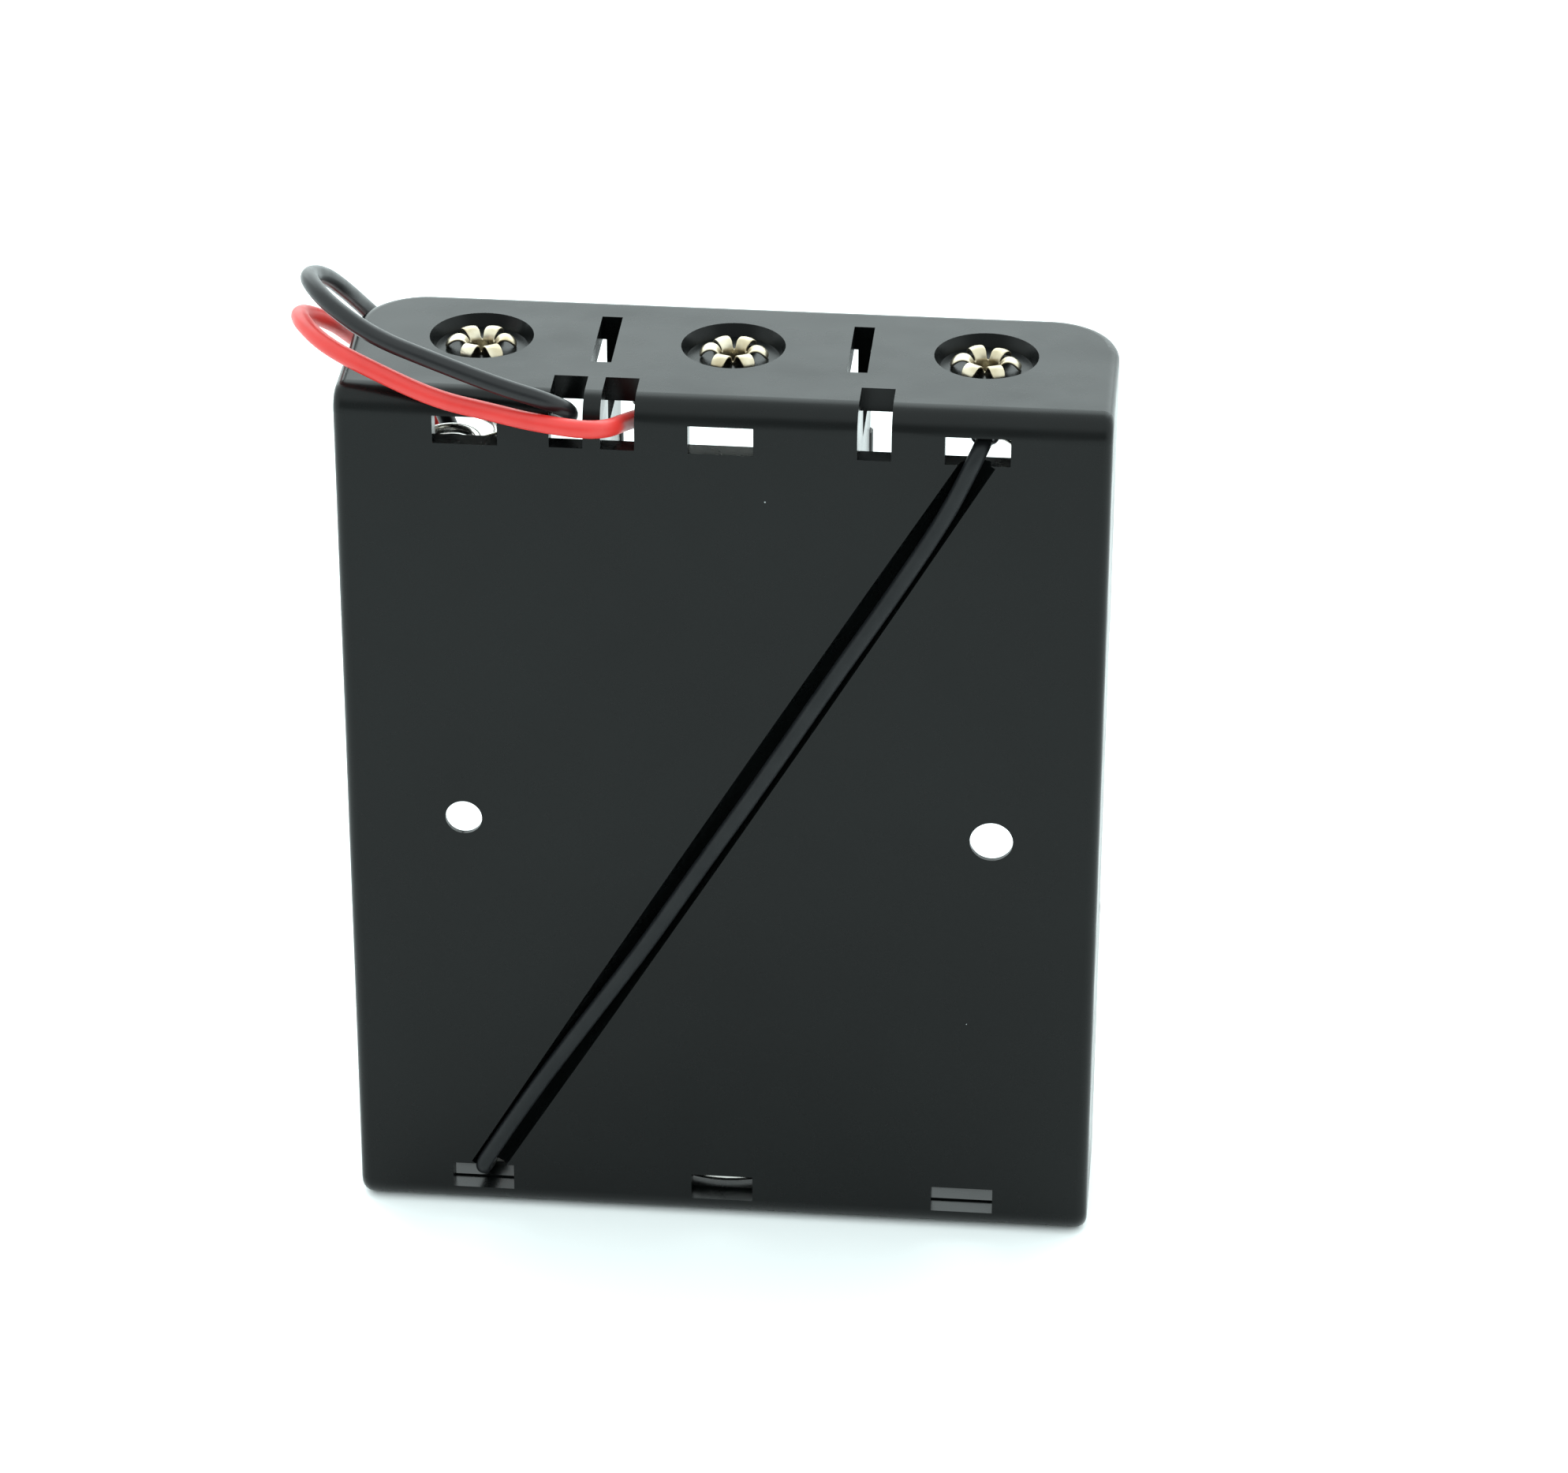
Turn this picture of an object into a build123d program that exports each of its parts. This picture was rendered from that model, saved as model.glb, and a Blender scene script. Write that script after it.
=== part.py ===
"""A three-bay holder for cylindrical 18 x 65 mm cells, standing on one of its short ends.

Frame: +Z is the holder's long way up, +Y is the open front that the cells go in through, and the
origin is the centre of the lower end. Millimetres. The three bays are wired in series: springs and
flat contacts are riveted to the end walls, a bridge plate joins two bays inside, a link wire joins
the other two in a groove across the back, and two flexible leads leave by notches at the top.
"""

import os
from math import atan2, cos, degrees, pi, radians, sin, sqrt, tan

from build123d import *

# ---- the case ----
CASE_WIDTH = 59.6
CASE_DEPTH = 18.0
CASE_HEIGHT = 74.0
BAY_PITCH = 19.6
END_WALL = 1.96
BACK_WALL = 1.6
SIDE_WALL = 1.0
DIVIDER_X = 9.87
CELL_AXIS_Y = 1.7
FRONT_CORNER_R = 5.5
LONG_EDGE_R = 2.0
RIM_R = 0.9
SIDE_TOP_Y = 6.5
POST_TOP_Y = 8.2
POST_LENGTH = 5.0
GRIP_BOTTOM_Y = 2.0
GRIP_Z = (24.0, 50.0)
RIB_R = 0.75
RIB_SPANS = ((9.0, 22.0), (52.0, 65.0))

# ---- openings in the case ----
SLOT_WIDTH = 5.0
SLOT_HEIGHT = 2.3
SLOT_INSET = 1.8
NOTCH_XS = (-11.84, -7.89, 11.73)
NOTCH_WIDTH = 2.6
NOTCH_DEPTH_Y = 4.26
NOTCH_DEPTH_Z = 4.05
END_SLOT_WIDTH = 1.6
END_SLOT_Y = (-2.14, 5.94)
UNDERPASS_HEIGHT = 3.55
RECESS_R = 4.05
RECESS_FLOOR_R = 3.6
RECESS_DEPTH = 1.0
RIVET_HOLE_R = 1.35
SCREW_HOLE_Z = 36.9
SCREW_HOLES = ((-20.45, 1.45), (21.33, 1.7))
SCREW_LAND = 0.4

# ---- contacts ----
PLATE_WIDTH = 14.6
PLATE_DEPTH = 14.0
PLATE_CORNER_R = 1.5
PLATE_T = 0.3
ARM_WIDTH = 5.0
EYELET_BORE_R = 1.0
EYELET_BARREL_R = 1.3
EYELET_FLANGE_R = 2.6
EYELET_FLANGE_T = 0.35
EYELET_CROWN = 1.95
PETAL_COUNT = 6
SPRING_WIRE_R = 0.42
EYE_RING_R = 1.8
SPRING_BASE_R = 7.4
SPRING_TIP_R = 2.8
SPRING_TAIL_R = 2.1
SPRING_OFFSET_Y = -1.0
SPRING_TURNS = 2.6
LEG_BEND_R = 2.5
BASE_SWEEP = 210.0
TIP_GAP_ANGLE = 2.5
TAIL_SWEEP = 160.0
COIL_STEPS = 10
COIL_ARC = 0.93

# ---- wires ----
LINK_R = 0.65
LEAD_R = 0.7
CONDUCTOR_R = 0.3
STRIPPED_LENGTH = 5.0

BACK_Y = -CASE_DEPTH / 2
FRONT_Y = CASE_DEPTH / 2
INNER_BACK_Y = BACK_Y + BACK_WALL
INNER_X = CASE_WIDTH / 2 - SIDE_WALL
BAY_X = {"left": -BAY_PITCH, "middle": 0.0, "right": BAY_PITCH}
EPS = 0.5

# A spring's leg bends into its base ring where the two arcs share a tangent.
bend_centre_y = EYE_RING_R - LEG_BEND_R
bend_drop = bend_centre_y - SPRING_OFFSET_Y
bend_centre_x = -sqrt((SPRING_BASE_R - LEG_BEND_R) ** 2 - bend_drop**2)
base_start = degrees(atan2(bend_drop, bend_centre_x))

os.makedirs("parts", exist_ok=True)


def save(piece, name):
    """Label a finished piece and write its STEP file."""
    piece.part.label = name
    export_step(piece.part, f"parts/{name}.step")


def box_between(x_span, y_span, z_span, mode=Mode.ADD):
    """A box between two values on each axis, joined to or cut from the part being built."""
    spans = (x_span, y_span, z_span)
    middle = tuple((low + high) / 2 for low, high in spans)
    with Locations(middle):
        Box(*(high - low for low, high in spans), mode=mode)


def end_plane(bay, end, inset=0.0):
    """The inner face of an end wall at a bay's axis, its normal pointing into the bay."""
    x = BAY_X[bay]
    if end == "top":
        z = CASE_HEIGHT - END_WALL - inset
        return Plane(origin=(x, CELL_AXIS_Y, z), x_dir=(-1, 0, 0), z_dir=(0, 0, -1))
    return Plane(origin=(x, CELL_AXIS_Y, END_WALL + inset), x_dir=(1, 0, 0), z_dir=(0, 0, 1))


# ---- the wire groove ----
# It runs straight across the back from the upper right slot to the lower left one. It is round in
# section and a little wider at its middle than at its ends: a long spindle, turned about an axis
# that stands just outside the back.
GROOVE_TOP = (19.6, CASE_HEIGHT - SLOT_INSET - SLOT_HEIGHT)
GROOVE_BOTTOM = (-19.2, SLOT_INSET + SLOT_HEIGHT)
GROOVE_PROUD = 0.15
GROOVE_END_R = 1.28
GROOVE_MIDDLE_R = 1.48
GROOVE_OVERRUN = 0.5
groove_dx = GROOVE_TOP[0] - GROOVE_BOTTOM[0]
groove_dz = GROOVE_TOP[1] - GROOVE_BOTTOM[1]
groove_length = sqrt(groove_dx**2 + groove_dz**2)
groove_middle = (
    (GROOVE_TOP[0] + GROOVE_BOTTOM[0]) / 2,
    BACK_Y - GROOVE_PROUD,
    (GROOVE_TOP[1] + GROOVE_BOTTOM[1]) / 2,
)
groove_plane = Plane(origin=groove_middle, x_dir=(groove_dx, 0, groove_dz), z_dir=(0, -1, 0))
groove_end = groove_length / 2 + GROOVE_OVERRUN


# ---- the moulded tray ----
def ends_of(z_span, length):
    """The two stretches of a given length at the ends of a span."""
    return ((z_span[0], z_span[0] + length), (z_span[1] - length, z_span[1]))


inner_z = (END_WALL, CASE_HEIGHT - END_WALL)
cavity_front_y = FRONT_Y - SIDE_WALL

with BuildPart() as tray:
    with BuildSketch(Plane.XY):
        body_outline = Rectangle(CASE_WIDTH, CASE_DEPTH)
        fillet(body_outline.vertices().group_by(Axis.Y)[-1], FRONT_CORNER_R)
    extrude(amount=CASE_HEIGHT)
    fillet(tray.edges().filter_by(Axis.X).group_by(Axis.Y)[0], LONG_EDGE_R)
    fillet(tray.edges().filter_by(Axis.Z).group_by(Axis.Y)[0], RIM_R)

    with BuildSketch(Plane.XY.offset(END_WALL)):
        with Locations((0, (cavity_front_y + INNER_BACK_Y) / 2)):
            cavity_outline = Rectangle(2 * INNER_X, cavity_front_y - INNER_BACK_Y)
        fillet(cavity_outline.vertices().group_by(Axis.Y)[-1], FRONT_CORNER_R - SIDE_WALL)
    extrude(amount=CASE_HEIGHT - 2 * END_WALL, mode=Mode.SUBTRACT)
    box_between((-CASE_WIDTH, CASE_WIDTH), (SIDE_TOP_Y, FRONT_Y + 1), inner_z, Mode.SUBTRACT)

    for divider_x in (-DIVIDER_X, DIVIDER_X):
        x_span = (divider_x - SIDE_WALL / 2, divider_x + SIDE_WALL / 2)
        box_between(x_span, (INNER_BACK_Y - EPS, SIDE_TOP_Y), (1.0, CASE_HEIGHT - 1.0))
        for z_span in ends_of(inner_z, POST_LENGTH):
            box_between(x_span, (0, POST_TOP_Y), z_span)
        for z_span in ends_of(inner_z, UNDERPASS_HEIGHT):
            box_between(x_span, END_SLOT_Y, z_span, Mode.SUBTRACT)
        slot_x = (divider_x - END_SLOT_WIDTH / 2, divider_x + END_SLOT_WIDTH / 2)
        for z_span in ends_of((-1.0, CASE_HEIGHT + 1.0), END_WALL + 1.0):
            box_between(slot_x, END_SLOT_Y, z_span, Mode.SUBTRACT)

    box_between((-CASE_WIDTH, CASE_WIDTH), (GRIP_BOTTOM_Y, FRONT_Y + 1), GRIP_Z, Mode.SUBTRACT)

    slot_ends = ends_of((SLOT_INSET, CASE_HEIGHT - SLOT_INSET), SLOT_HEIGHT)
    for x in BAY_X.values():
        for z_span in slot_ends:
            x_span = (x - SLOT_WIDTH / 2, x + SLOT_WIDTH / 2)
            box_between(x_span, (BACK_Y - 1, INNER_BACK_Y + 0.05), z_span, Mode.SUBTRACT)
    for x in NOTCH_XS:
        box_between(
            (x - NOTCH_WIDTH / 2, x + NOTCH_WIDTH / 2),
            (BACK_Y - 1, BACK_Y + NOTCH_DEPTH_Y),
            (CASE_HEIGHT - NOTCH_DEPTH_Z, CASE_HEIGHT + 1),
            Mode.SUBTRACT,
        )

    for x in BAY_X.values():
        with Locations((x, CELL_AXIS_Y, CASE_HEIGHT - RECESS_DEPTH / 2)):
            Cone(RECESS_FLOOR_R, RECESS_R, RECESS_DEPTH, mode=Mode.SUBTRACT)
        with Locations((x, CELL_AXIS_Y, RECESS_DEPTH / 2)):
            Cone(RECESS_R, RECESS_FLOOR_R, RECESS_DEPTH, mode=Mode.SUBTRACT)
        with Locations((x, CELL_AXIS_Y, END_WALL / 2), (x, CELL_AXIS_Y, CASE_HEIGHT - END_WALL / 2)):
            Cylinder(RIVET_HOLE_R, END_WALL + 0.2, mode=Mode.SUBTRACT)

    for x, hole_r in SCREW_HOLES:
        with BuildSketch(Plane(origin=(x, BACK_Y - 1, SCREW_HOLE_Z), z_dir=(0, 1, 0))):
            Circle(hole_r)
        extrude(amount=BACK_WALL + 2, mode=Mode.SUBTRACT)
        sink_depth = BACK_WALL - SCREW_LAND
        with BuildSketch(Plane(origin=(x, INNER_BACK_Y, SCREW_HOLE_Z), z_dir=(0, -1, 0))):
            Circle(hole_r + sink_depth)
        extrude(amount=sink_depth, taper=45, mode=Mode.SUBTRACT)

    with BuildSketch(groove_plane):
        with BuildLine():
            ThreePointArc((-groove_end, GROOVE_END_R), (0, GROOVE_MIDDLE_R), (groove_end, GROOVE_END_R))
            Polyline((groove_end, GROOVE_END_R), (groove_end, 0), (-groove_end, 0), (-groove_end, GROOVE_END_R))
        make_face()
    revolve(axis=Axis(groove_middle, (groove_dx, 0, groove_dz)), mode=Mode.SUBTRACT)

    # Rounded ribs on the dividers' front edges hold the cells in.
    for divider_x in (-DIVIDER_X, DIVIDER_X):
        for z_low, z_high in RIB_SPANS:
            with Locations((divider_x, SIDE_TOP_Y - 0.4, (z_low + z_high) / 2)):
                Cylinder(RIB_R, z_high - z_low)

save(tray, "tray")


# ---- riveted eyelets ----
def make_eyelet(bay, end, stack):
    """A hollow rivet through an end wall: a flange over the contact inside, curled petals outside."""
    outward = CASE_HEIGHT - END_WALL if end == "top" else END_WALL
    sign = 1 if end == "top" else -1
    x = BAY_X[bay]
    plane = Plane(origin=(x, CELL_AXIS_Y, outward), x_dir=(1, 0, 0), z_dir=(0, -sign, 0))
    floor = END_WALL - RECESS_DEPTH
    low = -stack - EYELET_FLANGE_T
    with BuildPart() as eyelet:
        with BuildSketch(plane):
            with BuildLine():
                Polyline(
                    (EYELET_BORE_R, floor + 0.15),
                    (EYELET_BORE_R, low),
                    (EYELET_FLANGE_R, low),
                    (EYELET_FLANGE_R, -stack),
                    (EYELET_BARREL_R, -stack),
                    (EYELET_BARREL_R, floor + 0.02),
                )
                ThreePointArc(
                    (EYELET_BARREL_R, floor + 0.02),
                    (1.95, EYELET_CROWN - 0.3),
                    (EYELET_FLANGE_R - 0.2, floor + 0.15),
                )
                Line((EYELET_FLANGE_R - 0.2, floor + 0.15), (EYELET_FLANGE_R + 0.05, floor + 0.3))
                ThreePointArc(
                    (EYELET_FLANGE_R + 0.05, floor + 0.3),
                    (1.85, EYELET_CROWN),
                    (EYELET_BORE_R, floor + 0.15),
                )
            make_face()
        revolve(axis=Axis((x, CELL_AXIS_Y, 0), (0, 0, 1)))
        slit_z = outward + sign * (floor + 0.75)
        with Locations((x, CELL_AXIS_Y, slit_z)):
            with PolarLocations((EYELET_BARREL_R + EYELET_FLANGE_R) / 2, PETAL_COUNT):
                Box(1.5, 0.3, 1.4, mode=Mode.SUBTRACT)
    save(eyelet, f"eyelet_{bay}_{end}")


# ---- springs ----
def tube_along(path, radius):
    """A round wire along an open path."""
    with BuildPart() as tube:
        with BuildSketch(Plane(origin=path @ 0, z_dir=path % 0)):
            Circle(radius)
        sweep(path=path)
    return tube


def coil_point(turn, level, rise, lean, outside=1.0):
    """A point of a spring's cone, in its end wall's plane; outside moves it out to a tangent corner."""
    share = turn / SPRING_TURNS
    radius = outside * (SPRING_BASE_R + (SPRING_TIP_R - SPRING_BASE_R) * share)
    angle = radians(base_start + BASE_SWEEP) + 2 * pi * turn
    x = lean * share + radius * cos(angle)
    return (x, SPRING_OFFSET_Y + radius * sin(angle), level + rise * share)


def make_spring(name, bay, end, seat, tip_height, lean):
    """A conical wire spring: its flat foot, the coil that shortens, and the ring that a cell pushes."""
    foot_level = seat + SPRING_WIRE_R
    base_end = base_start + BASE_SWEEP
    with BuildLine(end_plane(bay, end, foot_level)) as foot_path:
        CenterArc((0, 0), EYE_RING_R, 165, 285)
        Line((0, EYE_RING_R), (bend_centre_x, EYE_RING_R))
        CenterArc((bend_centre_x, bend_centre_y), LEG_BEND_R, 90, base_start - 90)
        CenterArc((0, SPRING_OFFSET_Y), SPRING_BASE_R, base_start, BASE_SWEEP)
    save(tube_along(foot_path.wire(), SPRING_WIRE_R), f"spring_foot_{name}")

    # The coil runs along tangent corners that stand around its cone, one every part of a turn.
    rise = tip_height - foot_level
    half_step = 0.5 / COIL_STEPS
    corner_turns = [(step + 0.5) / COIL_STEPS for step in range(round(SPRING_TURNS * COIL_STEPS))]
    outside = 1 / cos(2 * pi * half_step)
    corners = [coil_point(turn, foot_level, rise, lean, outside) for turn in corner_turns]
    first = coil_point(0, foot_level, rise, lean)
    last = coil_point(SPRING_TURNS, foot_level, rise, lean)
    points = [first, *corners, last]
    wall_plane = end_plane(bay, end)
    shares = [turn / SPRING_TURNS for turn in corner_turns]
    bends = [COIL_ARC * (SPRING_BASE_R + (SPRING_TIP_R - SPRING_BASE_R) * share) for share in shares]
    with BuildLine() as coil_path:
        FilletPolyline(*(wall_plane.from_local_coords(point) for point in points), radius=bends)
    save(tube_along(coil_path.wire(), SPRING_WIRE_R), f"spring_coil_{name}")

    tip_start = base_end + 360 * SPRING_TURNS + TIP_GAP_ANGLE
    tail_start = (tip_start + 180) % 360
    tail_shift = SPRING_TIP_R - SPRING_TAIL_R
    tail_x = lean + tail_shift * cos(radians(tail_start))
    tail_y = SPRING_OFFSET_Y + tail_shift * sin(radians(tail_start))
    with BuildLine(end_plane(bay, end, tip_height)) as tip_path:
        CenterArc((lean, SPRING_OFFSET_Y), SPRING_TIP_R, tip_start % 360, 180)
        CenterArc((tail_x, tail_y), SPRING_TAIL_R, tail_start, TAIL_SWEEP)
    save(tube_along(tip_path.wire(), SPRING_WIRE_R), f"spring_tip_{name}")


# The upper left spring has been pushed over to the outside, so its tip ring stands off its axis.
SPRINGS = {
    "left_top": ("left", "top", 0.0, 7.05, 2.3),
    "right_top": ("right", "top", 0.0, 8.3, 0.0),
    "middle_bottom": ("middle", "bottom", PLATE_T, 8.3 + PLATE_T, 0.0),
}
for spring_name, (bay, end, seat, tip_height, lean) in SPRINGS.items():
    make_spring(spring_name, bay, end, seat, tip_height, lean)

# Each rivet clamps what lies on its end wall: a plate, a spring's foot, or both.
EYELET_STACKS = {
    ("left", "top"): 2 * SPRING_WIRE_R,
    ("middle", "top"): PLATE_T,
    ("right", "top"): 2 * SPRING_WIRE_R,
    ("left", "bottom"): PLATE_T,
    ("middle", "bottom"): PLATE_T + 2 * SPRING_WIRE_R,
    ("right", "bottom"): PLATE_T,
}
for (bay, end), stack in EYELET_STACKS.items():
    make_eyelet(bay, end, stack)


# ---- flat contacts ----
for bay, end in (("middle", "top"), ("left", "bottom")):
    with BuildPart() as plate:
        with BuildSketch(end_plane(bay, end)):
            RectangleRounded(PLATE_WIDTH, PLATE_DEPTH, PLATE_CORNER_R)
            Circle(RIVET_HOLE_R, mode=Mode.SUBTRACT)
        extrude(amount=PLATE_T)
    save(plate, f"contact_plate_{bay}_{end}")

with BuildPart() as bridge_plate:
    with BuildSketch(end_plane("right", "bottom")):
        RectangleRounded(PLATE_WIDTH, PLATE_DEPTH, PLATE_CORNER_R)
        with Locations((-BAY_PITCH / 2, 0)):
            Rectangle(BAY_PITCH, ARM_WIDTH)
        with Locations((-BAY_PITCH, 0)):
            Circle(ARM_WIDTH / 2 + 0.4)
        with Locations((0, 0), (-BAY_PITCH, 0)):
            Circle(RIVET_HOLE_R, mode=Mode.SUBTRACT)
    extrude(amount=PLATE_T)
save(bridge_plate, "bridge_plate")


# ---- wires ----
def corner_radii(points):
    """The largest arc at each corner that 0.45 of the shorter run beside it allows."""
    radii = []
    for before, corner, after in zip(points, points[1:], points[2:]):
        run_in = Vector(*corner) - Vector(*before)
        run_out = Vector(*after) - Vector(*corner)
        half_turn = radians(run_in.get_angle(run_out)) / 2
        radii.append(0.45 * min(run_in.length, run_out.length) / tan(half_turn))
    return radii


def make_wire(name, points, radius):
    """A round wire along straight runs that are joined by tangent arcs."""
    radii = corner_radii(points)
    with BuildLine() as route:
        FilletPolyline(*points, radius=radii)
    path = route.wire()
    wire = tube_along(path, radius)
    save(wire, name)
    ratio = wire.part.volume / (path.length * pi * radius**2)
    print(name, "length", round(path.length, 1), "volume over section times length", round(ratio, 4))
    print(name, "corner radii", [round(r, 1) for r in radii])


def make_lead_tip(name, points):
    """The stripped, tinned conductor that stands out of a lead's far end."""
    start = Vector(*points[-1])
    direction = (start - Vector(*points[-2])).normalized()
    with BuildPart() as tip:
        with BuildSketch(Plane(origin=start, z_dir=direction)):
            Circle(CONDUCTOR_R)
        extrude(amount=STRIPPED_LENGTH)
    save(tip, name)


def make_solder(name, centre, half_x, half_z):
    """A rounded solder joint: an egg shape, longest along X, over the ends of what it joins."""
    with BuildPart() as joint:
        with BuildSketch(Plane(origin=centre, x_dir=(1, 0, 0), z_dir=(0, -1, 0))):
            Ellipse(half_x, half_z)
            with Locations((0, -half_z)):
                Rectangle(2 * half_x, 2 * half_z, mode=Mode.SUBTRACT)
        revolve(axis=Axis(centre, (1, 0, 0)))
    save(joint, name)


# The link wire, centred a little proud of the back, keeps to the right in the groove's upper part
# and crosses to its left side near the lower end.
LINK_Y = BACK_Y + 0.35
LINK_ROUTE = [
    (20.0, -7.1, 71.15),
    (19.8, -8.1, 71.0),
    (19.3, LINK_Y, 70.0),
    (17.6, LINK_Y, 66.0),
    (15.5, LINK_Y, 62.1),
    (12.2, LINK_Y, 56.4),
    (8.7, LINK_Y, 50.6),
    (2.8, LINK_Y, 40.5),
    (-1.7, LINK_Y, 33.1),
    (-6.2, LINK_Y, 25.5),
    (-10.3, LINK_Y, 19.2),
    (-15.0, LINK_Y, 11.9),
    (-17.7, LINK_Y, 7.4),
    (-19.6, LINK_Y, 4.05),
    (-19.7, -8.1, 3.25),
    (-19.5, -6.9, 3.03),
    (-19.3, -5.4, 3.1),
]
make_wire("link_wire", LINK_ROUTE, LINK_R)

BLACK_ROUTE = [
    (-13.3, -3.2, 70.2),
    (-12.3, -5.5, 70.6),
    (-11.4, -8.4, 72.7),
    (-13.1, -10.1, 74.4),
    (-16.8, -9.9, 75.4),
    (-22.0, -8.8, 76.8),
    (-26.7, -6.8, 77.6),
    (-30.1, -4.5, 78.8),
    (-32.0, -2.2, 79.4),
    (-32.9, 0.5, 79.2),
    (-32.1, 3.4, 77.9),
    (-30.9, 6.6, 75.0),
    (-29.8, 9.9, 71.8),
    (-27.5, 12.0, 68.3),
    (-24.9, 11.4, 64.2),
    (-22.8, 10.9, 59.0),
    (-20.9, 12.0, 50.0),
    (-19.0, 13.8, 40.0),
    (-17.6, 14.4, 29.0),
    (-16.9, 14.6, 19.0),
    (-16.2, 15.4, 9.0),
    (-15.2, 18.4, 0.8),
    (-9.0, 22.5, 0.8),
    (-1.5, 24.5, 0.8),
    (7.3, 22.7, 0.8),
]
RED_ROUTE = [
    (-5.4, -2.8, 70.2),
    (-7.2, -5.0, 70.65),
    (-8.9, -11.4, 72.6),
    (-13.9, -10.7, 72.8),
    (-17.5, -9.9, 73.2),
    (-21.6, -9.6, 73.9),
    (-26.4, -8.3, 75.4),
    (-30.5, -6.1, 76.3),
    (-33.1, -2.4, 76.6),
    (-33.7, 1.2, 75.7),
    (-31.8, 5.1, 73.0),
    (-30.5, 9.4, 69.3),
    (-28.3, 12.6, 65.9),
    (-25.6, 13.1, 61.8),
    (-23.4, 12.7, 56.1),
    (-21.6, 14.2, 47.0),
    (-21.4, 16.0, 37.0),
    (-20.6, 17.0, 26.0),
    (-21.2, 17.2, 16.0),
    (-21.6, 18.4, 7.0),
    (-20.6, 22.6, 0.8),
    (-15.5, 28.0, 0.8),
    (-8.2, 30.5, 0.8),
    (-0.8, 29.2, 0.8),
]
make_wire("black_lead", BLACK_ROUTE, LEAD_R)
make_wire("red_lead", RED_ROUTE, LEAD_R)
make_lead_tip("black_lead_tip", BLACK_ROUTE)
make_lead_tip("red_lead_tip", RED_ROUTE)

make_solder("solder_black", (-13.6, -3.4, 71.3), 0.95, 0.6)
make_solder("solder_red", (-4.9, -2.6, 70.95), 1.0, 0.8)
make_solder("solder_link_top", (20.0, -6.5, 71.15), 1.1, 0.75)
make_solder("solder_link_bottom", (-19.2, -4.9, 2.85), 1.1, 0.6)
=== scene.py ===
import bmesh
import bpy
from math import cos, pi, radians, sin
from mathutils import Matrix, Vector, noise


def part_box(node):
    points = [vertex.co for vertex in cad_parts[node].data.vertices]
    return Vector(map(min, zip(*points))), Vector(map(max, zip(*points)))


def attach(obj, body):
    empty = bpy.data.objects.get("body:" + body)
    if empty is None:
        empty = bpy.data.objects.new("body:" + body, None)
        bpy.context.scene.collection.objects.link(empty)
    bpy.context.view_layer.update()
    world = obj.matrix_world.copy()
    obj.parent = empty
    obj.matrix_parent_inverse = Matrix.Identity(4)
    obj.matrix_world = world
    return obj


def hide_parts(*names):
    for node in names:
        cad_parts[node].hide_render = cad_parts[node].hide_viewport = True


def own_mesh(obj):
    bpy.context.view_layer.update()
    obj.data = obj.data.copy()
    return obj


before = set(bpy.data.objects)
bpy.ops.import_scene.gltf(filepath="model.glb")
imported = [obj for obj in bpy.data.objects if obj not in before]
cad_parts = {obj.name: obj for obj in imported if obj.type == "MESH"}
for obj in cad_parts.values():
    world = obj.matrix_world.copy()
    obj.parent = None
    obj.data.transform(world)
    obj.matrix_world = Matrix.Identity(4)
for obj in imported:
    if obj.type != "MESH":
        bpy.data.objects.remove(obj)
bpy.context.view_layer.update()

MM = 0.001

# ---- sizes: the case's top from the frame, the rest as in the CAD model ----
CASE_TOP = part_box("tray")[1][2]
END_WALL = 1.96 * MM
RIVET_Y = 1.7 * MM
RECESS_DEPTH = 1.0 * MM
WIRE_R = 0.42 * MM
LEAD_R = 0.7 * MM

# ---- camera and cords ----
CAMERA_PLACE = Vector((0.0385, -0.4038, 0.2697))
CAMERA_AIM = Vector((0.00495, -0.009, 0.04557))
CAMERA_TILT = radians(0.23)
CAMERA_LENS = 133.9


def make_camera():
    """The camera stands above and behind the holder, a long way off with a long lens."""
    data = bpy.data.cameras.new("camera")
    data.lens = CAMERA_LENS
    data.sensor_width = 36.0
    data.clip_end = 20.0
    camera = bpy.data.objects.new("camera", data)
    bpy.context.scene.collection.objects.link(camera)
    look = (CAMERA_AIM - CAMERA_PLACE).to_track_quat("-Z", "Y").to_matrix().to_4x4()
    tilt = Matrix.Rotation(CAMERA_TILT, 4, "Z")
    camera.matrix_world = Matrix.Translation(CAMERA_PLACE) @ look @ tilt
    bpy.context.scene.camera = camera


def make_lead(name, points_mm, node):
    """A limp lead: one smooth curve along its route; its stripped end is a CAD node of its own.

    The wire's radius is each point's own, over a bevel depth of one, so that the curve's box stays
    close to the wire.
    """
    data = bpy.data.curves.new(name, "CURVE")
    data.dimensions = "3D"
    spline = data.splines.new("NURBS")
    spline.points.add(len(points_mm) - 1)
    for point, place in zip(spline.points, points_mm):
        point.co = (place[0] * MM, place[1] * MM, place[2] * MM, 1.0)
        point.radius = LEAD_R
    spline.order_u = 3
    spline.use_endpoint_u = True
    spline.resolution_u = 12
    data.bevel_depth = 1.0
    data.bevel_resolution = 6
    data.use_fill_caps = True
    lead = bpy.data.objects.new(name, data)
    bpy.context.scene.collection.objects.link(lead)
    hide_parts(node)
    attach(lead, "holder")
    return lead


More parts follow.
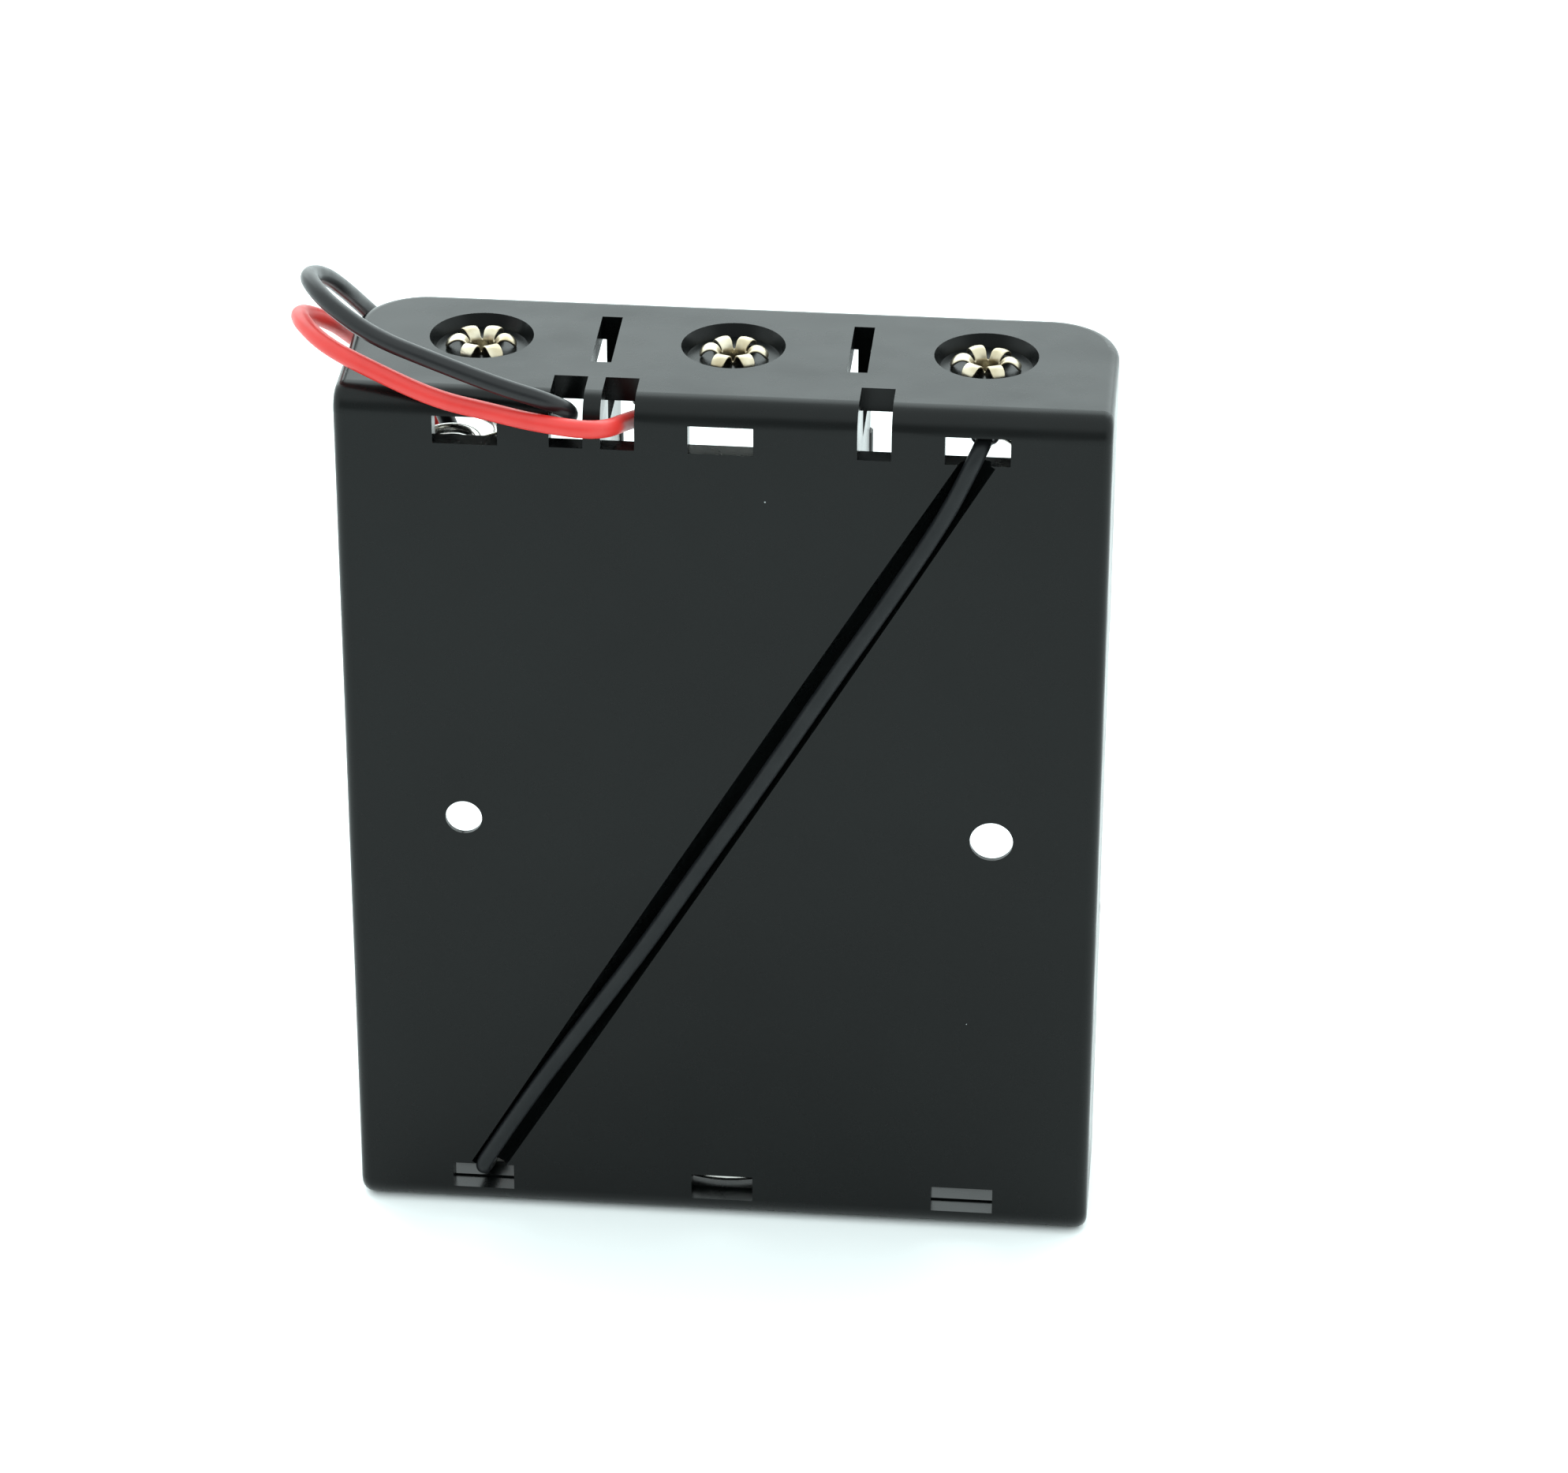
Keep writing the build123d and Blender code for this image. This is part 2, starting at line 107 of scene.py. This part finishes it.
BLACK_ROUTE = [
    (-13.3, -3.2, 70.2),
    (-12.3, -5.5, 70.6),
    (-11.4, -8.4, 72.7),
    (-13.1, -10.1, 74.4),
    (-16.8, -9.9, 75.4),
    (-22.0, -8.8, 76.8),
    (-26.7, -6.8, 77.6),
    (-30.1, -4.5, 78.8),
    (-32.0, -2.2, 79.4),
    (-32.9, 0.5, 79.2),
    (-32.1, 3.4, 77.9),
    (-30.9, 6.6, 75.0),
    (-29.8, 9.9, 71.8),
    (-27.5, 12.0, 68.3),
    (-24.9, 11.4, 64.2),
    (-22.8, 10.9, 59.0),
    (-20.9, 12.0, 50.0),
    (-19.0, 13.8, 40.0),
    (-17.6, 14.4, 29.0),
    (-16.9, 14.6, 19.0),
    (-16.2, 15.4, 9.0),
    (-15.2, 18.4, 0.8),
    (-9.0, 22.5, 0.8),
    (-1.5, 24.5, 0.8),
    (7.3, 22.7, 0.8),
]
RED_ROUTE = [
    (-5.4, -2.8, 70.2),
    (-7.2, -5.0, 70.65),
    (-8.9, -11.4, 72.6),
    (-13.9, -10.7, 72.8),
    (-17.5, -9.9, 73.2),
    (-21.6, -9.6, 73.9),
    (-26.4, -8.3, 75.4),
    (-30.5, -6.1, 76.3),
    (-33.1, -2.4, 76.6),
    (-33.7, 1.2, 75.7),
    (-31.8, 5.1, 73.0),
    (-30.5, 9.4, 69.3),
    (-28.3, 12.6, 65.9),
    (-25.6, 13.1, 61.8),
    (-23.4, 12.7, 56.1),
    (-21.6, 14.2, 47.0),
    (-21.4, 16.0, 37.0),
    (-20.6, 17.0, 26.0),
    (-21.2, 17.2, 16.0),
    (-21.6, 18.4, 7.0),
    (-20.6, 22.6, 0.8),
    (-15.5, 28.0, 0.8),
    (-8.2, 30.5, 0.8),
    (-0.8, 29.2, 0.8),
]

make_camera()
black_lead = make_lead("black_wire", BLACK_ROUTE, "black_lead")
red_lead = make_lead("red_wire", RED_ROUTE, "red_lead")


# ---- materials ----
def new_material(name):
    """A node material with its principled shader, ready for links."""
    material = bpy.data.materials.new(name)
    material.use_nodes = True
    tree = material.node_tree
    return material, tree, tree.nodes["Principled BSDF"]


def add_node(tree, kind, **values):
    """A shader node with named settings and input values."""
    node = tree.nodes.new(kind)
    for key, value in values.items():
        if hasattr(node, key):
            setattr(node, key, value)
        else:
            node.inputs[key.replace("_", " ")].default_value = value
    return node


def noise_texture(tree, scale, detail=3.0, roughness=0.5):
    """Noise in the object's own coordinates, which are metres."""
    place = tree.nodes.get("place") or add_node(tree, "ShaderNodeTexCoord", name="place")
    texture = add_node(tree, "ShaderNodeTexNoise", Scale=scale, Detail=detail, Roughness=roughness)
    tree.links.new(place.outputs["Object"], texture.inputs["Vector"])
    return texture


def ramp(tree, source, stops):
    """A colour ramp from a 0 to 1 value."""
    node = tree.nodes.new("ShaderNodeValToRGB")
    while len(node.color_ramp.elements) < len(stops):
        node.color_ramp.elements.new(0.5)
    for element, (place, colour) in zip(node.color_ramp.elements, stops):
        element.position = place
        element.color = (*colour, 1.0)
    tree.links.new(source, node.inputs["Fac"])
    return node


def grey(value):
    return (value, value, value)


def bump(tree, shader, height, strength, distance, below=None):
    """A bump from a height, on top of an earlier one if there is one."""
    node = add_node(tree, "ShaderNodeBump", Strength=strength, Distance=distance)
    tree.links.new(height, node.inputs["Height"])
    if below is not None:
        tree.links.new(below.outputs["Normal"], node.inputs["Normal"])
    tree.links.new(node.outputs["Normal"], shader.inputs["Normal"])
    return node


def mix_colour(tree, factor, first, second):
    """Blend two colours by a factor."""
    node = add_node(tree, "ShaderNodeMix", data_type="RGBA")
    tree.links.new(factor, node.inputs["Factor"])
    tree.links.new(first, node.inputs["A"])
    node.inputs["B"].default_value = (*second, 1.0)
    return node.outputs["Result"]


CASE_DARK = (0.0016, 0.0021, 0.0021)
CASE_LIGHT = (0.0026, 0.0034, 0.0034)
CASE_IOR = 1.265
DUST_COLOUR = (0.28, 0.30, 0.30)
DUST_CELLS_PER_METRE = 190.0
DUST_REACH = 0.012
DUST_RARITY = 0.55


def dusted(tree, colour):
    """A colour with specks of dust: some of the cells of a Voronoi pattern hold one at their centre."""
    cells = add_node(tree, "ShaderNodeTexVoronoi", Scale=DUST_CELLS_PER_METRE)
    tree.links.new(tree.nodes["place"].outputs["Object"], cells.inputs["Vector"])
    near = add_node(tree, "ShaderNodeMath", operation="LESS_THAN")
    near.inputs[1].default_value = DUST_REACH
    tree.links.new(cells.outputs["Distance"], near.inputs[0])
    chosen = add_node(tree, "ShaderNodeSeparateColor")
    tree.links.new(cells.outputs["Color"], chosen.inputs["Color"])
    few = add_node(tree, "ShaderNodeMath", operation="GREATER_THAN")
    few.inputs[1].default_value = DUST_RARITY
    tree.links.new(chosen.outputs["Red"], few.inputs[0])
    speck = add_node(tree, "ShaderNodeMath", operation="MULTIPLY")
    tree.links.new(near.outputs[0], speck.inputs[0])
    tree.links.new(few.outputs[0], speck.inputs[1])
    return mix_colour(tree, speck.outputs[0], colour, DUST_COLOUR)


def case_material():
    """Semi-gloss black moulded plastic, with sink ripples, faint rubs and a few specks of dust."""
    material, tree, shader = new_material("case_black")
    fine = noise_texture(tree, 2600.0, 4.0)
    broad = noise_texture(tree, 55.0, 3.0)
    colour = ramp(tree, broad.outputs["Fac"], ((0.3, CASE_DARK), (0.7, CASE_LIGHT)))
    tree.links.new(dusted(tree, colour.outputs["Color"]), shader.inputs["Base Color"])
    rubs = noise_texture(tree, 240.0, 5.0)
    rough = ramp(tree, rubs.outputs["Fac"], ((0.3, grey(0.22)), (0.75, grey(0.33))))
    tree.links.new(rough.outputs["Color"], shader.inputs["Roughness"])
    ripple = noise_texture(tree, 130.0, 1.0)
    waves = bump(tree, shader, ripple.outputs["Fac"], strength=0.30, distance=0.3 * MM)
    sink = bump(tree, shader, broad.outputs["Fac"], strength=0.25, distance=0.6 * MM, below=waves)
    bump(tree, shader, fine.outputs["Fac"], strength=0.12, distance=0.02 * MM, below=sink)
    shader.inputs["IOR"].default_value = CASE_IOR
    return material


def insulation_material(name, dark, light, roughness, ior=1.45):
    """Soft flexible insulation with a faint drawn grain."""
    material, tree, shader = new_material(name)
    shader.inputs["IOR"].default_value = ior
    broad = noise_texture(tree, 300.0, 3.0)
    colour = ramp(tree, broad.outputs["Fac"], ((0.3, dark), (0.7, light)))
    tree.links.new(colour.outputs["Color"], shader.inputs["Base Color"])
    rubs = noise_texture(tree, 900.0)
    rough = ramp(tree, rubs.outputs["Fac"], ((0.3, grey(roughness)), (0.7, grey(roughness + 0.1))))
    tree.links.new(rough.outputs["Color"], shader.inputs["Roughness"])
    grain = noise_texture(tree, 1500.0, 4.0)
    bump(tree, shader, grain.outputs["Fac"], strength=0.15, distance=0.03 * MM)
    return material


def metal_material(name, dark, light, roughness):
    """Plated metal with a cloudy tone and fine handling marks."""
    material, tree, shader = new_material(name)
    shader.inputs["Metallic"].default_value = 1.0
    broad = noise_texture(tree, 420.0, 4.0)
    colour = ramp(tree, broad.outputs["Fac"], ((0.32, dark), (0.68, light)))
    tree.links.new(colour.outputs["Color"], shader.inputs["Base Color"])
    fine = noise_texture(tree, 1200.0, 5.0)
    rough = ramp(tree, fine.outputs["Fac"], ((0.3, grey(roughness)), (0.7, grey(roughness + 0.16))))
    tree.links.new(rough.outputs["Color"], shader.inputs["Roughness"])
    bump(tree, shader, fine.outputs["Fac"], strength=0.2, distance=0.03 * MM)
    return material


CASE = case_material()
RED = insulation_material("red_pvc", (0.51, 0.021, 0.017), (0.58, 0.030, 0.025), 0.36)
BLACK = insulation_material("black_pvc", (0.004, 0.004, 0.005), (0.007, 0.007, 0.008), 0.27, 1.36)
LINK = insulation_material("link_pvc", (0.005, 0.006, 0.007), (0.009, 0.010, 0.011), 0.42, 1.29)
EYELET = metal_material("eyelet_plating", (0.34, 0.28, 0.18), (0.58, 0.53, 0.42), 0.25)
SPRING = metal_material("spring_plating", (0.62, 0.60, 0.57), (0.80, 0.79, 0.76), 0.16)
CONTACT = metal_material("contact_plating", (0.55, 0.54, 0.51), (0.72, 0.71, 0.68), 0.30)
SOLDER = metal_material("solder_tin", (0.55, 0.56, 0.57), (0.75, 0.76, 0.78), 0.22)


def paint(piece, material):
    """Give a piece one material."""
    piece.data.materials.clear()
    piece.data.materials.append(material)


def paint_node(name, material):
    """Give a CAD node one material through its object's slots."""
    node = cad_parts[name]
    if not node.material_slots:
        node.data.materials.append(material)
    for material_slot in node.material_slots:
        material_slot.material = material


def new_mesh_piece(name, bm, material):
    """A mesh object from a bmesh, riding on the holder."""
    data = bpy.data.meshes.new(name)
    bmesh.ops.recalc_face_normals(bm, faces=bm.faces)
    bm.to_mesh(data)
    bm.free()
    for polygon in data.polygons:
        polygon.use_smooth = True
    piece = bpy.data.objects.new(name, data)
    bpy.context.scene.collection.objects.link(piece)
    paint(piece, material)
    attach(piece, "holder")
    return piece


paint(black_lead, BLACK)
paint(red_lead, RED)


# ---- the tray keeps its CAD mesh and gets softened edges ----
EDGE_SOFTNESS = 0.14 * MM
EDGE_ANGLE = radians(40)


def dress_tray():
    """Paint the tray and round its sharp edges a little."""
    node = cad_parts["tray"]
    paint_node("tray", CASE)
    bevel = node.modifiers.new("soft_edges", "BEVEL")
    bevel.width = EDGE_SOFTNESS
    bevel.segments = 3
    bevel.limit_method = "ANGLE"
    bevel.angle_limit = EDGE_ANGLE
    bevel.harden_normals = True


# ---- springs: the coil is drawn with the uneven pitch of a real one ----
BAY_PITCH = 19.6 * MM
SPRING_Y = 0.7 * MM
BASE_R = 7.4 * MM
TIP_R = 2.8 * MM
TURNS = 2.6
BASE_END = radians(386.5)
COIL_STEPS = 300

# How a coil narrows and rises, as (turn, share) keys: all three narrow alike, each rises its own way.
COIL_RADII = ((0.0, 1.0), (0.7, 0.77), (1.65, 0.46), (2.2, 0.22), (2.6, 0.0))
COIL_RISES = {
    "left_top": ((0.0, 0.0), (0.7, 0.09), (1.65, 0.62), (2.2, 0.84), (2.6, 1.0)),
    "right_top": ((0.0, 0.0), (0.7, 0.08), (1.65, 0.53), (2.2, 0.69), (2.6, 1.0)),
    "middle_bottom": ((0.0, 0.0), (0.7, 0.1), (1.65, 0.55), (2.2, 0.8), (2.6, 1.0)),
}

# Each spring's bay axis, its end (1 is the top), its seat's thickness and its tip ring's height.
SPRINGS = {
    "left_top": (-BAY_PITCH, 1, 0.0, 7.05 * MM),
    "right_top": (BAY_PITCH, 1, 0.0, 8.3 * MM),
    "middle_bottom": (0.0, -1, 0.3 * MM, 8.6 * MM),
}
TIP_LEAN = {"left_top": 2.3 * MM, "right_top": 0.0, "middle_bottom": 0.0}


def smooth_steps(keys, at):
    """A smooth curve through (place, value) keys, by cubic pieces with shared slopes."""
    slopes = []
    for index in range(len(keys)):
        before = keys[max(index - 1, 0)]
        after = keys[min(index + 1, len(keys) - 1)]
        slopes.append((after[1] - before[1]) / (after[0] - before[0]))
    for (low, high), (slope_low, slope_high) in zip(zip(keys, keys[1:]), zip(slopes, slopes[1:])):
        if at <= high[0] or high is keys[-1]:
            run = high[0] - low[0]
            share = (at - low[0]) / run
            rest = 1 - share
            return (
                low[1] * (1 + 2 * share) * rest**2
                + high[1] * (1 + 2 * rest) * share**2
                + run * share * rest * (slope_low * rest - slope_high * share)
            )


def sweep_round(path, radius, sides=16):
    """A closed round tube along a list of points."""
    bm = bmesh.new()
    rings = []
    side = None
    for index, point in enumerate(path):
        before = path[max(index - 1, 0)]
        after = path[min(index + 1, len(path) - 1)]
        along = (after - before).normalized()
        side = (along.orthogonal() if side is None else side - along * side.dot(along)).normalized()
        other = along.cross(side)
        ring = []
        for step in range(sides):
            angle = 2 * pi * step / sides
            ring.append(bm.verts.new(point + radius * (cos(angle) * side + sin(angle) * other)))
        rings.append(ring)
    for first, second in zip(rings, rings[1:]):
        for step in range(sides):
            following = (step + 1) % sides
            bm.faces.new((first[step], first[following], second[following], second[step]))
    bm.faces.new(rings[0])
    bm.faces.new(rings[-1])
    return bm


def make_coil(name):
    """A conical coil from its foot to its tip ring; a real one flattens as it is pressed, this one is
    drawn at one fixed height.
    """
    x, up, seat, tip_height = SPRINGS[name]
    wall = CASE_TOP - END_WALL if up > 0 else END_WALL
    start = seat + WIRE_R
    path = []
    for step in range(COIL_STEPS + 1):
        turn = TURNS * step / COIL_STEPS
        radius = TIP_R + (BASE_R - TIP_R) * smooth_steps(COIL_RADII, turn)
        rise = smooth_steps(COIL_RISES[name], turn)
        depth = start + (tip_height - start) * rise
        angle = BASE_END + 2 * pi * turn
        across = TIP_LEAN[name] * rise + radius * cos(angle)
        along = SPRING_Y + radius * sin(angle)
        path.append(Vector((x - up * across, along, wall - up * depth)))
    coil = new_mesh_piece(f"coil_{name}", sweep_round(path, WIRE_R), SPRING)
    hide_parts(f"spring_coil_{name}")
    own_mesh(coil)


# ---- eyelets: a flange inside, a barrel, and six curled petals outside ----
PETALS = 6
PETAL_COLUMNS = 8
PETAL_HALF_WIDTH = 0.59
PETAL_HALF_ANGLE = radians(25)
PETAL_TIP_SHARE = 0.78
PETAL_LOWEST = 0.13
PETAL_PROFILE = ((1.19, 0.34), (1.40, 0.70), (1.76, 0.90), (2.16, 0.86), (2.50, 0.60), (2.68, 0.22))
SHEET = 0.22 * MM
EYELET_TURNS = {"left": 5.0, "middle": 2.0, "right": -3.0}
FLANGE_LEVELS = {
    "left_top": 0.84,
    "middle_top": 0.3,
    "right_top": 0.84,
    "left_bottom": 0.3,
    "middle_bottom": 1.14,
    "right_bottom": 0.3,
}


def make_eyelet(bay, end, x, seed):
    """A hollow rivet of thin sheet: full rings up to the recess's floor, then petals that curl back."""
    name = f"{bay}_{end}"
    up = 1 if end == "top" else -1
    floor = (CASE_TOP if up > 0 else 0.0) - up * RECESS_DEPTH
    wall = RECESS_DEPTH / MM - END_WALL / MM
    under = wall - FLANGE_LEVELS[name] - 0.5 * SHEET / MM
    rings = ((2.5, under), (1.5, under), (1.18, under + 0.3), (1.12, -0.2), (1.13, 0.12))
    columns = PETALS * PETAL_COLUMNS
    turn = radians(EYELET_TURNS[bay])
    bm = bmesh.new()

    def vertex(radius, height, angle):
        """A vertex from a radius and a height over the recess's floor, both in millimetres."""
        reach = radius * MM
        place = (x + reach * cos(angle), RIVET_Y + reach * sin(angle), floor + up * height * MM)
        return bm.verts.new(place)

    rows = []
    for radius, height in rings:
        steps = [turn + 2 * pi * (column / columns - 0.5 / PETALS) for column in range(columns)]
        rows.append([vertex(radius, height, angle) for angle in steps])
    for first, second in zip(rows, rows[1:]):
        for column in range(columns):
            after = (column + 1) % columns
            bm.faces.new((first[column], first[after], second[after], second[column]))
    for petal in range(PETALS):
        noise.seed_set(seed * 31 + petal + 1)
        lean = 1.0 + 0.10 * (noise.random() - 0.5)
        droop = 0.16 * noise.random()
        twist = 0.16 * (noise.random() - 0.5)
        middle = turn + 2 * pi * petal / PETALS + radians(7) * (noise.random() - 0.5)
        start = petal * PETAL_COLUMNS
        below = [rows[-1][(start + column) % columns] for column in range(PETAL_COLUMNS + 1)]
        for place, (radius, height) in enumerate(PETAL_PROFILE):
            share = (place + 1) / len(PETAL_PROFILE)
            half = min(PETAL_HALF_ANGLE, PETAL_HALF_WIDTH / radius)
            if place == len(PETAL_PROFILE) - 1:
                half *= PETAL_TIP_SHARE
            row = []
            for column in range(PETAL_COLUMNS + 1):
                offset = 2 * column / PETAL_COLUMNS - 1
                rise = height - droop * share**2 - 0.10 * share * offset**2 + twist * share * offset
                reach = radius * (1 + (lean - 1) * share)
                row.append(vertex(reach, max(rise, PETAL_LOWEST), middle + half * offset))
            for column in range(PETAL_COLUMNS):
                bm.faces.new((below[column], below[column + 1], row[column + 1], row[column]))
            below = row
    piece = new_mesh_piece(f"rivet_{name}", bm, EYELET)
    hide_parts(f"eyelet_{name}")
    solid = piece.modifiers.new("sheet", "SOLIDIFY")
    solid.thickness = SHEET
    solid.offset = 0.0
    smooth = piece.modifiers.new("round", "SUBSURF")
    smooth.levels = 2
    smooth.render_levels = 2


# ---- floor and lights ----
FLOOR_HALF_SIZE = 4.0
LIGHT_COLOUR = (0.88, 1.0, 1.0)
ROOM_COLOUR = (0.90, 1.0, 1.0, 1.0)
ROOM_STRENGTH = 2.05
DARK_SIDE_STRENGTH = 0.70
BACKDROP_PLACE = Vector((-0.2, 2.2, 1.5))
BACKDROP_SIZE = (4.5, 2.6)
BACKDROP_POWER = 62.0


def make_floor():
    """A plain pale floor that runs far past the view."""
    bm = bmesh.new()
    bmesh.ops.create_grid(bm, x_segments=1, y_segments=1, size=FLOOR_HALF_SIZE)
    data = bpy.data.meshes.new("floor")
    bm.to_mesh(data)
    bm.free()
    floor = bpy.data.objects.new("floor", data)
    bpy.context.scene.collection.objects.link(floor)
    material, tree, shader = new_material("floor_white")
    shader.inputs["Base Color"].default_value = (0.93, 0.95, 0.95, 1.0)
    shader.inputs["Roughness"].default_value = 0.6
    shader.inputs["Specular IOR Level"].default_value = 0.2
    paint(floor, material)


def map_range(tree, source, span, values):
    """A value carried from one span to another, held at the ends."""
    node = add_node(tree, "ShaderNodeMapRange")
    for key, value in zip(("From Min", "From Max", "To Min", "To Max"), (*span, *values)):
        node.inputs[key].default_value = value
    tree.links.new(source, node.inputs["Value"])
    return node.outputs["Result"]


def make_world():
    """A bright room all round, darker low down on the side that the back of the holder faces."""
    world = bpy.data.worlds.new("studio")
    bpy.context.scene.world = world
    world.use_nodes = True
    tree = world.node_tree
    background = tree.nodes["Background"]
    background.inputs["Color"].default_value = ROOM_COLOUR
    way = add_node(tree, "ShaderNodeTexCoord")
    parts = add_node(tree, "ShaderNodeSeparateXYZ")
    tree.links.new(way.outputs["Generated"], parts.inputs["Vector"])
    behind = map_range(tree, parts.outputs["Y"], (-0.75, -0.45), (1.0, 0.0))
    low = map_range(tree, parts.outputs["Z"], (0.45, 0.70), (1.0, 0.0))
    dark = add_node(tree, "ShaderNodeMath", operation="MULTIPLY")
    tree.links.new(behind, dark.inputs[0])
    tree.links.new(low, dark.inputs[1])
    strength = map_range(tree, dark.outputs[0], (0.0, 1.0), (ROOM_STRENGTH, DARK_SIDE_STRENGTH))
    tree.links.new(strength, background.inputs["Strength"])


def make_lights():
    """The room's light, and one large soft light beyond the holder that aims back at it."""
    make_world()
    data = bpy.data.lights.new("backdrop", "AREA")
    data.shape = "RECTANGLE"
    data.size, data.size_y = BACKDROP_SIZE
    data.energy = BACKDROP_POWER
    data.color = LIGHT_COLOUR
    light = bpy.data.objects.new("backdrop", data)
    bpy.context.scene.collection.objects.link(light)
    light.location = BACKDROP_PLACE
    light.rotation_euler = (-BACKDROP_PLACE).to_track_quat("-Z", "Y").to_euler()
    bpy.context.scene.view_settings.view_transform = "Standard"


dress_tray()
for spring_name in SPRINGS:
    paint_node(f"spring_foot_{spring_name}", SPRING)
    paint_node(f"spring_tip_{spring_name}", SPRING)
    make_coil(spring_name)
for seed, (bay, x) in enumerate((("left", -BAY_PITCH), ("middle", 0.0), ("right", BAY_PITCH))):
    make_eyelet(bay, "top", x, 2 * seed)
    make_eyelet(bay, "bottom", x, 2 * seed + 1)
for name in ("contact_plate_middle_top", "contact_plate_left_bottom", "bridge_plate"):
    paint_node(name, CONTACT)
for name in ("solder_red", "solder_black", "solder_link_top", "solder_link_bottom"):
    paint_node(name, SOLDER)
for name in ("red_lead_tip", "black_lead_tip"):
    paint_node(name, SOLDER)
paint_node("link_wire", LINK)
make_floor()
make_lights()

bpy.context.view_layer.update()
